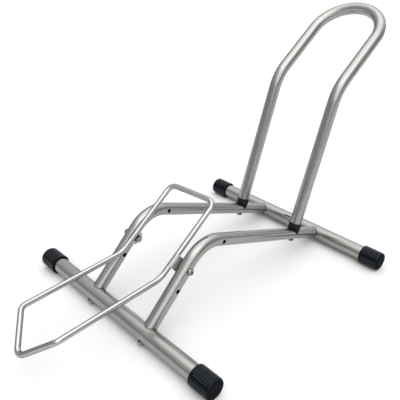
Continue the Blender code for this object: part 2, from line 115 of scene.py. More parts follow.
class Finish:
    """The nodes of a material, or of the studio's light, round its one shader."""

    def __init__(self, owner, shader, plain):
        owner.use_nodes = True
        self.owner = owner
        self.tree = owner.node_tree
        self.shader = self.tree.nodes[shader]
        self.show(plain)

    def feed(self, socket, value):
        """Link an amount to a socket, or set a plain value on it."""
        if isinstance(value, Amount):
            self.tree.links.new(value.socket, socket)
        else:
            socket.default_value = value

    def show(self, looks):
        """Give the shader its looks."""
        for name, value in looks.items():
            self.feed(self.shader.inputs[name], value)

    def node(self, kind, settings, sockets, result=0):
        """Add a node, its settings first and then its sockets, and give back one of its results."""
        made = self.tree.nodes.new("ShaderNode" + kind)
        for name, value in settings.items():
            setattr(made, name, value)
        for name, value in sockets.items():
            self.feed(made.inputs[name], value)
        return Amount(self, made.outputs[result])


def finish_of(name, plain):
    """A finish for a piece, with the looks that are the same all over it."""
    return Finish(bpy.data.materials.new(name), "Principled BSDF", plain)


def two_tone(finish, share, dark, light):
    """A colour between a dark and a light tone, each a plain colour or an amount, by a share of 0 to 1.

    The Mix node takes its two colours at sockets 6 and 7, and gives the mixed one at socket 2.
    """
    tones = [tone if isinstance(tone, Amount) else (*tone, 1.0) for tone in (dark, light)]
    return finish.node("Mix", {"data_type": "RGBA"}, {0: share, 6: tones[0], 7: tones[1]}, 2)


def zinc_on_tube(name, dark, light, roughness, grain, rim, seam_shade=None):
    """Zinc on drawn steel: soft clouds in its tone, hair-fine streaks along the tube, and a dusty grain.

    The rim is how much it reflects at a slant. A seam shade is a crossbar's middle and the distance from it
    within which the coped tube's edge is painted near black, as painted shade of the seam where the tube
    meets the crossbar.
    """
    finish = finish_of(name, {"Metallic": 1.0, "Specular Tint": (rim, rim, rim, 1.0)})
    laid_out = finish.node("Attribute", {"attribute_name": "laid_out"}, {}, "Vector")
    drawn = finish.node("VectorMath", {"operation": "MULTIPLY"}, {0: laid_out, 1: STREAK_STRETCH})
    clouds = finish.node("TexNoise", {}, {"Vector": laid_out, "Scale": 70.0, "Detail": 4.0, "Roughness": 0.6})
    streaks = finish.node("TexNoise", {}, {"Vector": drawn, "Scale": 900.0, "Detail": 3.0, "Roughness": 0.7})
    dust = finish.node("TexNoise", {}, {"Vector": laid_out, "Scale": 1500.0, "Detail": 2.0, "Roughness": 0.5})
    tone = clouds * 0.40 + streaks * 0.50 + dust * 0.10
    spread = finish.node("MapRange", {}, {"Value": tone, "From Min": 0.30, "From Max": 0.70})
    colour = two_tone(finish, spread, dark, light)
    # Painted shade: the coped tube's edge near the rear crossbar goes near black, for the dark seam where the
    # tubes meet.
    if seam_shade:
        middle, reach = seam_shade
        spot = finish.node("VectorMath", {"operation": "MULTIPLY"},
                           {0: finish.node("TexCoord", {}, {}, "Object"), 1: (1.0, 0.0, 1.0)})
        away = finish.node("VectorMath", {"operation": "DISTANCE"}, {0: spot, 1: middle}, "Value")
        away = away + (clouds - 0.5) * SEAM_SHADE_WANDER
        edge = finish.node("MapRange", {}, {"Value": away, "From Min": reach, "From Max": reach - SEAM_SHADE_BLUR})
        colour = two_tone(finish, edge, colour, SEAM_SHADE_DARK)
    height = streaks * 0.6 + dust * 0.4
    relief = finish.node("Bump", {}, {"Strength": 0.35, "Distance": grain, "Height": height})
    worn = roughness + (streaks - 0.5) * 0.08 + (clouds - 0.5) * 0.06
    finish.show({"Base Color": colour, "Roughness": worn, "Normal": relief})
    return finish.owner


tube_zinc = zinc_on_tube("galvanised_tube", **TUBE_ZINC)

# The tubes' inside: bare steel coloured near black, painted shade of the hollow where little light gets in.
bore_shade_finish = finish_of("bore_painted_shade", {"Metallic": 0.6, "Specular IOR Level": 0.2})
scale = bore_shade_finish.node("TexNoise", {}, {"Vector": bore_shade_finish.node("TexCoord", {}, {}, "Object"), "Scale": 300.0})
bore_shade_finish.show({"Base Color": two_tone(bore_shade_finish, scale, BORE_SHADE_DARK, BORE_SHADE_LIGHT), "Roughness": 0.60 + scale * 0.2})
bore_steel_and_shade = bore_shade_finish.owner


def cross_axes(line, closed=False):
    """Two axes square to a line at each of its points, carried along it without twisting."""
    count = len(line)
    runs = [(line[(index + 1) % count] - line[index]).normalized() for index in range(count)]
    if not closed:
        runs[-1] = runs[-2]
    ways = [(runs[index - 1] + runs[index]).normalized() for index in range(count)]
    if not closed:
        ways[0] = runs[0]
    across = ways[0].orthogonal().normalized()
    axes = [(across, ways[0].cross(across))]
    for before, way in zip(ways, ways[1:]):
        across = before.rotation_difference(way) @ across
        axes.append((across, way.cross(across)))
    return axes


def skin(shape, first, second):
    """Join two rings of vertices by a band of faces."""
    for index in range(len(first)):
        following = (index + 1) % len(first)
        shape.faces.new((first[index], first[following], second[following], second[index]))


def settle(name, shape, finish, sharp=math.radians(35.0)):
    """Turn a shape into a piece with its finish, smooth but for its edges."""
    bmesh.ops.recalc_face_normals(shape, faces=shape.faces)
    mesh = bpy.data.meshes.new(name)
    shape.to_mesh(mesh)
    shape.free()
    mesh.shade_smooth()
    mesh.set_sharp_from_angle(angle=sharp)
    mesh.materials.append(finish)
    piece = bpy.data.objects.new(name, mesh)
    bpy.context.scene.collection.objects.link(piece)
    return piece


def even(count):
    """Angles spread evenly round a turned or drawn piece."""
    return [math.tau * index / count for index in range(count)]


def laid(shape, line, radius, sides=ROUND_SIDES, closed=False):
    """Lay rings of vertices round a line and skin them; gives the rings back."""
    rings = []
    for point, (across, up) in zip(line, cross_axes(line, closed)):
        rings.append([shape.verts.new(point + (across * math.cos(angle) + up * math.sin(angle)) * radius)
                      for angle in even(sides)])
    for first, second in zip(rings, rings[1:]):
        skin(shape, first, second)
    return rings


def tube(name, line, outer, wall, finish):
    """A tube of a given outer radius and wall along a line, cut square at its ends, bare steel inside that is
    coloured near black as painted shade of its hollow.
    """
    shape = bmesh.new()
    inside = laid(shape, line, outer - wall)
    for face in shape.faces:
        face.material_index = 1
    outside = laid(shape, line, outer)
    skin(shape, outside[0], inside[0])
    skin(shape, outside[-1], inside[-1])
    made = settle(name, shape, finish)
    made.data.materials.append(bore_steel_and_shade)
    return made


def bar(start, end, radius, sides=ROUND_SIDES):
    """A round drill or trimming bar between two points, to cut a piece with."""
    shape = bmesh.new()
    for ring in laid(shape, [start, end], radius, sides):
        shape.faces.new(ring)
    return settle("cutter", shape, None)


def drawn_out(outline, way):
    """A flat outline drawn out along a way, to mill, stamp or trim with."""
    shape = bmesh.new()
    near = [shape.verts.new(point) for point in outline]
    far = [shape.verts.new(point + way) for point in outline]
    shape.faces.new(near)
    shape.faces.new(far)
    skin(shape, near, far)
    return shape


def worked(piece, kind, **settings):
    """Work a piece with one modifier and keep the result as its mesh."""
    modifier = piece.modifiers.new(kind.lower(), kind)
    for name, value in settings.items():
        setattr(modifier, name, value)
    seen = piece.evaluated_get(bpy.context.evaluated_depsgraph_get())
    rough = piece.data
    piece.data = bpy.data.meshes.new_from_object(seen)
    piece.modifiers.clear()
    bpy.data.meshes.remove(rough)


def cut(piece, cutter, operation="DIFFERENCE"):
    """Drill, mill or trim a piece with a cutter, which is then put away."""
    worked(piece, "BOOLEAN", object=cutter, operation=operation, solver="EXACT")
    bpy.data.objects.remove(cutter)


def round_off(piece, line, closed=False):
    """Give a tube or rod its true round normals, and lay its finish out along its length."""
    mesh = piece.data
    axes = cross_axes(line, closed)
    spots = np.zeros((len(mesh.vertices), 3))
    mesh.vertices.foreach_get("co", spots.ravel())
    starts = np.array(line)
    count = len(line) if closed else len(line) - 1
    ends = np.roll(starts, -1, axis=0)[:count]
    starts = starts[:count]
    runs = ends - starts
    lengths = np.linalg.norm(runs, axis=1)
    travelled = np.concatenate(([0.0], np.cumsum(lengths)[:-1]))
    shares = ((spots[:, None, :] - starts) * runs).sum(axis=2) / lengths ** 2
    shares = np.clip(shares, 0.0, 1.0)
    feet = starts + shares[:, :, None] * runs
    nearest = np.linalg.norm(spots[:, None, :] - feet, axis=2).argmin(axis=1)
    every = np.arange(len(spots))
    offsets = spots - feet[every, nearest]
    across = np.array([pair[0] for pair in axes])[nearest]
    up = np.array([pair[1] for pair in axes])[nearest]
    along = travelled[nearest] + shares[every, nearest] * lengths[nearest]
    laid_out = np.stack(((offsets * across).sum(axis=1), (offsets * up).sum(axis=1), along), axis=1)
    layer = mesh.attributes.new("laid_out", "FLOAT_VECTOR", "POINT")
    layer.data.foreach_set("vector", laid_out.astype(np.float32).ravel())

    corners = np.zeros(len(mesh.loops), np.int32)
    mesh.loops.foreach_get("vertex_index", corners)
    sizes = np.zeros(len(mesh.polygons), np.int32)
    mesh.polygons.foreach_get("loop_total", sizes)
    flat = np.zeros((len(mesh.polygons), 3))
    mesh.polygons.foreach_get("normal", flat.ravel())
    flat = np.repeat(flat, sizes, axis=0)
    spokes = offsets[corners]
    spokes /= np.linalg.norm(spokes, axis=1)[:, None]
    facing = (flat * spokes).sum(axis=1)
    round_wall = np.abs(facing) > WALL_FACING
    normals = np.where(round_wall[:, None], spokes * np.sign(facing)[:, None], flat)
    mesh.normals_split_custom_set(normals)


def put(piece, body, material_slot, *nodes):
    """Let a piece ride on its body in the place of the plain solids that it stands for."""
    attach(piece, body)
    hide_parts(*nodes)


def slope(angle):
    """A unit vector in the upright plane along the stand, at an angle above +X."""
    return Vector((math.cos(angle), 0.0, math.sin(angle)))


def beside(point, offset):
    """A point shifted across the stand, to an offset from its middle."""
    return Vector((point.x, offset, point.z))


front_low, front_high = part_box("front_crossbar")
rear_low, rear_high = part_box("rear_crossbar")
side_low, side_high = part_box("side_tube_left")
crossbar_radius = (front_high.z - front_low.z) / 2
crossbar_half = (front_high.y - front_low.y) / 2
front_axis = (front_low + front_high) / 2
rear_axis = (rear_low + rear_high) / 2
side_offset = (side_low.y + side_high.y) / 2
front_way = slope(FRONT_SLOPE)
rear_way = slope(math.pi - REAR_SLOPE)
crossbar_joints = (("front", front_axis, front_way), ("rear", rear_axis, rear_way))

for end, axis, way in crossbar_joints:
    line = [beside(axis, -crossbar_half), beside(axis, crossbar_half)]
    crossbar = tube(end + "_crossbar_tube", line, crossbar_radius, CROSSBAR_WALL, tube_zinc)
    for sign in SIDES.values():
        middle = beside(axis, sign * side_offset)
        through = way * crossbar_radius * 2
        cut(crossbar, bar(middle - through, middle + through, BOLT_HOLE / 2, HOLE_SIDES))
    if end == "rear":
        slot_turn = Matrix.Translation(rear_axis) @ Matrix.Rotation(-SLOT_ANGLE, 4, "Y")
        outline = []
        for sign in SIDES.values():
            for index in range(SLOT_END_STEPS + 1):
                angle = math.pi * (index / SLOT_END_STEPS - 0.5)
                out = (SLOT_LENGTH - SLOT_WIDTH) / 2 + math.cos(angle) * SLOT_WIDTH / 2
                up = math.sin(angle) * SLOT_WIDTH / 2
                outline.append(slot_turn @ Vector((0.0, sign * out, sign * up)))
        mill = drawn_out(outline, slope(SLOT_ANGLE) * 2 * crossbar_radius)
        cut(crossbar, settle("cutter", mill, None))
    round_off(crossbar, line)
    put(crossbar, "stand", "galvanised_tube", end + "_crossbar")


# End caps: four blind caps, moulded in black rubber and pushed over the crossbars' ends to grip the floor.
# Round the side of each run groups of three fine grooves with wide smooth lands between them. The grooves'
# hollows are coloured paler, for dust and as a painted highlight of the groove lines that catch the light.
# The sides are rubbed smooth and the blind ends are left matt.
CAP_END_WALL = 0.005
CAP_MOUTH_RADIUS = 0.0024
CAP_END_RADIUS = 0.0055
CAP_GROUPS = 6
CAP_GROOVES_IN_GROUP = 3
CAP_GROOVE_PITCH = math.radians(13.0)
CAP_GROOVE_START = 0.0065
CAP_GROOVE_LENGTH = 0.0292
CAP_GROOVE_WIDTH = 0.0026
CAP_GROOVE_DEPTH = 0.0011
CAP_GROOVE_RUN_OUT = 0.0012
CAP_GROOVE_STEPS = 10
CAP_RUN_OUT_STEPS = 4
CAP_SIDES = 360
CAP_END_RING_SHARE = 0.35
CAP_BLACK = (0.0003, 0.0005, 0.001)
CAP_BLOOM = (0.0015, 0.002, 0.003)
# Pale colour in the grooves' hollows: dust, and a painted highlight of the groove lines.
CAP_DUST_AND_SHEEN = (0.030, 0.036, 0.046)
HAIR = 1e-6

rubber = finish_of("cap_rubber", {"Metallic": 0.0, "Specular IOR Level": 0.18,
                                  "Specular Tint": (0.70, 0.82, 1.0, 1.0)})
moulded = rubber.node("TexCoord", {}, {}, "Object")
pores = rubber.node("TexNoise", {}, {"Vector": moulded, "Scale": 1400.0, "Detail": 3.0, "Roughness": 0.6})
bloom = rubber.node("TexNoise", {}, {"Vector": moulded, "Scale": 110.0, "Detail": 5.0, "Roughness": 0.6})
facing = rubber.node("SeparateXYZ", {}, {0: rubber.node("NewGeometry", {}, {}, "Normal")}, "Y")
endwise = rubber.node("Math", {"operation": "ABSOLUTE"}, {0: facing})
rubbed = rubber.node("MapRange", {}, {"Value": endwise, "From Min": 0.3, "From Max": 0.9,
                                      "To Min": 0.17, "To Max": 0.85})
# The dust mark colours the grooves' hollows paler: dust, and a painted highlight of the groove lines.
dust = rubber.node("Attribute", {"attribute_name": "dust"}, {}, "Fac")
black = two_tone(rubber, bloom, CAP_BLACK, CAP_BLOOM)
rubber.show({
    "Base Color": two_tone(rubber, dust, black, CAP_DUST_AND_SHEEN),
    "Roughness": rubbed + bloom * 0.16,
    "Normal": rubber.node("Bump", {}, {"Strength": 0.2, "Distance": 0.00005,
                                       "Height": pores * 0.7 + bloom * 0.3}),
})


def turned(name, rows, angles, finish, place, sharp=math.radians(35.0)):
    """A turned or moulded piece: rows of (radius, height), where a radius may also change with the angle.

    Rows that start at the axis end there too, and others run round to their start.
    """
    shape = bmesh.new()
    rings = []
    for radius, height in rows:
        if radius == 0.0:
            rings.append([shape.verts.new(place @ Vector((0.0, 0.0, height)))])
            continue
        ring = []
        for angle in angles:
            out = radius(angle) if callable(radius) else radius
            spot = Vector((out * math.cos(angle), out * math.sin(angle), height))
            ring.append(shape.verts.new(place @ spot))
        rings.append(ring)
    pairs = list(zip(rings, rings[1:]))
    if len(rings[0]) > 1:
        pairs.append((rings[-1], rings[0]))
    for first, second in pairs:
        if len(first) == len(second):
            skin(shape, first, second)
            continue
        tip, rim = (first[0], second) if len(first) == 1 else (second[0], first)
        for index in range(len(rim)):
            shape.faces.new((tip, rim[index], rim[(index + 1) % len(rim)]))
    return settle(name, shape, finish, sharp)


def arc(radius, start, end, steps):
    """Pairs of coordinates along an arc about zero."""
    angles = [start + (end - start) * index / steps for index in range(steps + 1)]
    return [(radius * math.cos(angle), radius * math.sin(angle)) for angle in angles]


def aimed(direction, point):
    """A placement whose own +Z runs along a direction from a point."""
    return Matrix.Translation(point) @ direction.to_track_quat("Z", "X").to_matrix().to_4x4()


def blend(share):
    """0 to 1 by a smooth step."""
    share = min(1.0, max(0.0, share))
    return share * share * (3 - 2 * share)


groove_end = CAP_GROOVE_START + CAP_GROOVE_LENGTH
groove_step = CAP_GROOVE_LENGTH / CAP_GROOVE_STEPS
run_out_step = CAP_GROOVE_RUN_OUT / CAP_RUN_OUT_STEPS
groove_angles = []
for group in range(CAP_GROUPS):
    for index in range(CAP_GROOVES_IN_GROUP):
        offset = CAP_GROOVE_PITCH * (index - (CAP_GROOVES_IN_GROUP - 1) / 2)
        groove_angles.append(math.tau * (group + 0.5) / CAP_GROUPS + offset)


def cap_side(height, cap_radius):
    """The cap's radius at a height, as a function of the angle: a rounded valley at each groove."""
    depth = CAP_GROOVE_DEPTH * blend((height - CAP_GROOVE_START) / CAP_GROOVE_RUN_OUT)
    depth *= blend((groove_end - height) / CAP_GROOVE_RUN_OUT)

    def radius(angle):
        if depth == 0.0:
            return cap_radius
        gap = min(abs(angle - groove) for groove in groove_angles) * cap_radius / (CAP_GROOVE_WIDTH / 2)
        return cap_radius - depth * (0.5 + 0.5 * math.cos(math.pi * gap) if gap < 1.0 else 0.0)

    return radius


def groove_dust_and_sheen(cap, place, cap_radius):
    """Mark how deep in a groove each spot of a cap's side lies, where it is coloured paler: dust, and a
    painted highlight of the groove lines.
    """
    layer = cap.data.attributes.new("dust", "FLOAT", "POINT")
    for vertex, mark in zip(cap.data.vertices, layer.data):
        spot = place.inverted() @ vertex.co
        sunk = cap_radius - math.hypot(spot.x, spot.y)
        on_side = CAP_GROOVE_START < spot.z < groove_end and sunk < CAP_GROOVE_DEPTH + HAIR
        mark.value = max(0.0, sunk / CAP_GROOVE_DEPTH) if on_side else 0.0


for end in ("front", "rear"):
    for side, sign in SIDES.items():
        low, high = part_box("cap_" + end + "_" + side)
        middle = (low + high) / 2
        cap_radius = (high.z - low.z) / 2
        cap_length = high.y - low.y
        bore = crossbar_radius + SEAT
        inside = cap_length - CAP_END_WALL
        profile = []
        for out, up in arc(CAP_MOUTH_RADIUS, -math.pi / 2, 0.0, steps=6):
            profile.append((cap_radius - CAP_MOUTH_RADIUS + out, CAP_MOUTH_RADIUS + up))
        height = CAP_GROOVE_START
        while height <= groove_end + HAIR:
            profile.append((cap_side(height, cap_radius), height))
            running_out = min(height - CAP_GROOVE_START, groove_end - height) < CAP_GROOVE_RUN_OUT - HAIR
            height += run_out_step if running_out else groove_step
        for out, up in arc(CAP_END_RADIUS, 0.0, math.pi / 2, steps=10):
            profile.append((cap_radius - CAP_END_RADIUS + out, cap_length - CAP_END_RADIUS + up))
        profile += [(cap_radius * CAP_END_RING_SHARE, cap_length), (0.0, cap_length)]
        profile = [(0.0, inside), (bore, inside), (bore, CAP_MOUTH_RADIUS / 2)] + profile
        place = aimed(Vector((0.0, sign, 0.0)), Vector((middle.x, low.y if sign > 0 else high.y, middle.z)))
        cap = turned("moulded_cap_" + end + "_" + side, profile, even(CAP_SIDES), rubber.owner, place)
        groove_dust_and_sheen(cap, place, cap_radius)
        put(cap, "stand", "cap_rubber", "cap_" + end + "_" + side)


# Side tubes: two lengths of the next smaller tube, each bent once and coped at both ends to sit on a
# crossbar. Their edge at the rear cope is painted near black, as painted shade of the seam where they meet
# the crossbar. Drilled across are the pivot hole and two spare ones for other wheels, and upwards the hole
# for the hoop's bolt.
SIDE_TUBE_WALL = 0.0015
COPE_GAP = 0.0006
COPE_SIDES = 96
# How far past the cope the painted seam shade reaches.
SEAM_SHADE_WIDTH = 0.0019
SIDE_BEND_RADIUS = 0.065
LOW_HOLE_FROM_FRONT = 0.0905
HIGH_HOLE_BEHIND_CORNER = 0.0476
HOOP_FROM_REAR = 0.1023
HOOP_LEG_TILT = math.radians(72.9)


def bent(corners, radii, step=math.radians(3.0)):
    """A centreline through corners that are rounded to their bend radii; a radius of 0 keeps an end."""
    line = []
    for index, corner in enumerate(corners):
        if radii[index] == 0.0:
            line.append(corner.copy())
            continue
        before = (corners[index - 1] - corner).normalized()
        after = (corners[(index + 1) % len(corners)] - corner).normalized()
        turn = math.pi - before.angle(after)
        middle = corner + (before + after).normalized() * (radii[index] / math.cos(turn / 2))
        spoke = (corner + before * radii[index] * math.tan(turn / 2) - middle).normalized()
        for out, along in arc(radii[index], 0.0, turn, math.ceil(turn / step)):
            line.append(middle + spoke * out - before * along)
    return line


pivot = Vector(frame["joints"][0]["pos_m"])
side_radius = (side_high.y - side_low.y) / 2
crossbar_spacing = rear_axis.x - front_axis.x
rise = math.tan(FRONT_SLOPE)
fall = math.tan(REAR_SLOPE)
corner_reach = crossbar_spacing * fall / (rise + fall)
side_corner = front_axis + Vector((corner_reach, 0.0, corner_reach * rise))
hoop_foot = rear_axis + rear_way * HOOP_FROM_REAR
leg_way = slope(HOOP_LEG_TILT)

# The side tubes' zinc, with the painted seam shade at the rear cope.
seam_shade_reach = crossbar_radius + COPE_GAP + SEAM_SHADE_WIDTH
coped_zinc = zinc_on_tube("galvanised_side_tube", seam_shade=(rear_axis, seam_shade_reach), **TUBE_ZINC)

for side, sign in SIDES.items():
    offset = sign * side_offset
    corners = [beside(front_axis, offset), beside(side_corner, offset), beside(rear_axis, offset)]
    line = bent(corners, [0.0, SIDE_BEND_RADIUS, 0.0])
    side_tube = tube("bent_side_tube_" + side, line, side_radius, SIDE_TUBE_WALL, coped_zinc)
    reach = Vector((0.0, 2 * side_radius, 0.0))
    for axis in (corners[0], corners[2]):
        cut(side_tube, bar(axis - reach, axis + reach, crossbar_radius + COPE_GAP, COPE_SIDES))
    low_hole = corners[0] + front_way * LOW_HOLE_FROM_FRONT
    high_hole = corners[1] - rear_way * HIGH_HOLE_BEHIND_CORNER
    for spot in (beside(pivot, offset), low_hole, high_hole):
        cut(side_tube, bar(spot - reach, spot + reach, BOLT_HOLE / 2, HOLE_SIDES))
    foot = beside(hoop_foot, offset)
    through = leg_way * 2 * side_radius
    cut(side_tube, bar(foot - through, foot + through, BOLT_HOLE / 2, HOLE_SIDES))
    round_off(side_tube, line)
    put(side_tube, "stand", "galvanised_tube", "side_tube_" + side)


# Crossbar bolts: a dome-headed socket bolt at each joint of crossbar and side tube, four in all, zinc plated.
# It pulls on a threaded plug fixed inside the side tube's end, out of sight and left as its plain solid.
HEAD_DIAMETER = 0.0140
HEAD_HEIGHT = 0.0048
HEAD_RIM = 0.0007
HEAD_FLAT = 0.0036
SOCKET_WIDTH = 0.0050
SOCKET_DEPTH = 0.0026
SOCKET_POINT = 0.0008
SOCKET_FLARE = 0.0003
SOCKET_FLARE_DEPTH = 0.0002
THREAD_PITCH = 0.00125
THREAD_DEPTH = 0.0007
THREAD_LENGTH = 0.016
THREAD_STEPS = 6
BOLT_SIDES = 48
PLUG_FROM_AXIS = 0.0170
BOLT_IN_PLUG = 0.0120


def zinc_on_fixing(name, dark, light, roughness):
    """Bright plated zinc on small turned and pressed steel: faint stains and fine tool marks."""
    finish = finish_of(name, {"Metallic": 1.0})
    spot = finish.node("TexCoord", {}, {}, "Object")
    stains = finish.node("TexNoise", {}, {"Vector": spot, "Scale": 260.0, "Detail": 4.0, "Roughness": 0.6})
    marks = finish.node("TexNoise", {}, {"Vector": spot, "Scale": 2600.0, "Detail": 2.0, "Roughness": 0.6})
    finish.show({"Base Color": two_tone(finish, stains, dark, light), "Roughness": roughness + stains * 0.12,
                 "Normal": finish.node("Bump", {}, {"Strength": 0.3, "Distance": 0.00003, "Height": marks})})
    return finish.owner


fixing_zinc = zinc_on_fixing("zinc_fixings", dark=(0.20, 0.20, 0.195), light=(0.35, 0.35, 0.34),
                             roughness=0.10)


def hexagon(width):
    """The outline of a hexagon of a given width across its flats, as a radius at each angle."""
    return lambda angle: width / 2 / math.cos(angle % (math.pi / 3) - math.pi / 6)


def thread(height, length):
    """The radius of a bolt's thread at a height, as a function of the angle; it runs out at both ends."""
    share = min(1.0, (length - height) / THREAD_PITCH, (height - length + THREAD_LENGTH) / THREAD_PITCH)

    def radius(angle):
        turn = (height / THREAD_PITCH - angle / math.tau) % 1.0
        return BOLT_DIAMETER / 2 - THREAD_DEPTH * (1.0 - share * abs(2 * turn - 1.0))

    return radius


def bolt(name, seat, way, length, node):
    """A button-head bolt: its head's flat underside on a seat, its shank along a way, threaded at the end."""
    head = HEAD_DIAMETER / 2
    shank = BOLT_DIAMETER / 2
    rows = [(0.0, length), (shank - 2 * THREAD_DEPTH, length)]
    steps = round(THREAD_LENGTH / THREAD_PITCH * THREAD_STEPS)
    for index in range(steps + 1):
        height = length - THREAD_LENGTH * index / steps
        rows.append((thread(height, length), height))
    edge = HEAD_RIM / 3
    rows += [(shank, length - THREAD_LENGTH - THREAD_DEPTH), (shank, 0.0), (head - edge, 0.0), (head, -edge)]
    crown = math.acos(HEAD_FLAT / head)
    rise_of_dome = (HEAD_HEIGHT - HEAD_RIM) / math.sin(crown)
    for out, up in arc(1.0, 0.0, crown, steps=10):
        rows.append((head * out, -HEAD_RIM - rise_of_dome * up))
    socket_mouth = hexagon(SOCKET_WIDTH + SOCKET_FLARE)
    socket = hexagon(SOCKET_WIDTH)
    bottom = SOCKET_DEPTH - HEAD_HEIGHT
    rows += [(socket_mouth, -HEAD_HEIGHT), (socket, -HEAD_HEIGHT + SOCKET_FLARE_DEPTH), (socket, bottom)]
    rows.append((0.0, bottom + SOCKET_POINT))
    made = turned(name, rows, even(BOLT_SIDES), fixing_zinc, aimed(way, seat), sharp=math.radians(30.0))
    put(made, "stand", "zinc_fixings", node)


for end, axis, way in crossbar_joints:
    for side, sign in SIDES.items():
        under = crossbar_radius + SEAT
        middle = beside(axis, sign * side_offset)
        length = under + PLUG_FROM_AXIS + BOLT_IN_PLUG
        bolt(end + "_socket_bolt_" + side, middle - way * under, way, length, end + "_bolt_" + side)
        frame["nodes"][end + "_insert_" + side].material_slots[0].material = fixing_zinc


# Saddles: two spacers moulded in black plastic, a little tapered, flat on top for a leg of the hoop and
# hollowed underneath to straddle the side tube, with two points that run down its sides. A bolt up through
# each keeps it in place.
SADDLE_DIAMETER = 0.028
SADDLE_FOOT_DIAMETER = 0.0252
SADDLE_HEIGHT = 0.0126
SADDLE_SKIRT = 0.0092
SADDLE_EDGE = 0.0008
SADDLE_DARK = (0.004, 0.004, 0.007)
SADDLE_LIGHT = (0.014, 0.013, 0.018)

plastic = finish_of("saddle_plastic", {"Metallic": 0.0, "Specular IOR Level": 0.16})
moulded = plastic.node("TexCoord", {}, {}, "Object")
sparks = plastic.node("TexNoise", {}, {"Vector": moulded, "Scale": 1800.0, "Detail": 2.0, "Roughness": 0.5})
scuffs = plastic.node("TexNoise", {}, {"Vector": moulded, "Scale": 240.0, "Detail": 5.0, "Roughness": 0.65})
plastic.show({
    "Base Color": two_tone(plastic, scuffs, SADDLE_DARK, SADDLE_LIGHT),
    "Roughness": 0.34 + scuffs * 0.2,
    "Normal": plastic.node("Bump", {}, {"Strength": 0.35, "Distance": 0.00006, "Height": sparks}),
})
saddle_top = side_radius + SEAT + SADDLE_HEIGHT
leg_start = saddle_top + SEAT

for side, sign in SIDES.items():
    foot = beside(hoop_foot, sign * side_offset)
    bottom = side_radius - SADDLE_SKIRT
    edge = SADDLE_DIAMETER / 2 - SADDLE_EDGE
    rows = [(BOLT_HOLE / 2, bottom), (BOLT_HOLE / 2, saddle_top)]
    for out, up in reversed(arc(SADDLE_EDGE, 0.0, math.pi / 2, steps=5)):
        rows.append((edge + out, saddle_top - SADDLE_EDGE + up))
    rows.append((SADDLE_FOOT_DIAMETER / 2, bottom))
    saddle = turned("moulded_saddle_" + side, rows, even(ROUND_SIDES), plastic.owner, aimed(leg_way, foot))
    run = rear_way * SADDLE_DIAMETER
    cut(saddle, bar(foot - run, foot + run, side_radius + SEAT))
    put(saddle, "stand", "saddle_plastic", "hoop_saddle_" + side)


# Hoop: one tube bent back halfway up its legs and rounded over the top, which holds the wheel's upper part.
# Its cut ends stand on the saddles, and a bolt from under each side tube pulls on a threaded plug in the leg.
HOOP_WALL = 0.0012
HOOP_LEG_LENGTH = 0.317
HOOP_TOP_TILT = math.radians(36.6)
HOOP_TOP_LENGTH = 0.223
HOOP_BEND_RADIUS = 0.090

hoop_low, hoop_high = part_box("hoop")
hoop_half = side_offset
hoop_radius = (hoop_high.y - hoop_low.y) / 2 - hoop_half
top_way = slope(HOOP_TOP_TILT)
hoop_bend = hoop_foot + leg_way * HOOP_LEG_LENGTH
shoulder = hoop_bend + top_way * (HOOP_TOP_LENGTH - hoop_half)
leg_end = hoop_foot + leg_way * leg_start
corners = [beside(point, hoop_half) for point in (leg_end, hoop_bend, shoulder)]
left_leg = bent(corners, [0.0, HOOP_BEND_RADIUS, 0.0])
round_top = [beside(shoulder, out) + top_way * up for out, up in arc(hoop_half, 0.0, math.pi, steps=60)]
line = left_leg + round_top[1:-1] + [beside(point, -hoop_half) for point in reversed(left_leg)]
hoop = tube("bent_hoop", line, hoop_radius, HOOP_WALL, tube_zinc)
round_off(hoop, line)
put(hoop, "stand", "galvanised_tube", "hoop")

for side, sign in SIDES.items():
    foot = beside(hoop_foot, sign * side_offset)
    lean = abs(HOOP_LEG_TILT - (math.pi / 2 - REAR_SLOPE))
    below = side_radius / math.cos(lean) + HEAD_DIAMETER / 2 * math.tan(lean) + SEAT
    length = below + leg_start + BOLT_IN_PLUG
    bolt("hoop_socket_bolt_" + side, foot - leg_way * below, leg_way, length, "hoop_bolt_" + side)
    frame["nodes"]["hoop_insert_" + side].material_slots[0].material = fixing_zinc


# Rocker: one length of bright zinc-plated rod, bent into a closed loop. It is a V in front, over which the
# wheel rolls in, and bends up beside the pivots. The bar behind, on which the wheel's weight comes, is bent a
# little out of square, as it is in the picture.
ROCKER_WIDTH = 0.1098
ROD_OVER_PIVOT = 0.0155
PIVOT_BEHIND_BEND = 0.0398
ROCKER_REAR_LEG = {"left": 0.1605, "right": 0.168}
ROCKER_REAR_ANGLE = math.radians(39.0)
ROCKER_FRONT_LEG = 0.204
ROCKER_FRONT_ANGLE = math.radians(4.2)
ROCKER_V_DEPTH = 0.060
ROCKER_V_ANGLE = math.radians(45.0)
ROCKER_MIDDLE_RADIUS = 0.045
ROCKER_REAR_RADIUS = 0.015
ROCKER_FRONT_RADIUS = 0.014
ROCKER_TIP_RADIUS = 0.014
ROD_RADIUS = 0.005
ROD_SIDES = 40

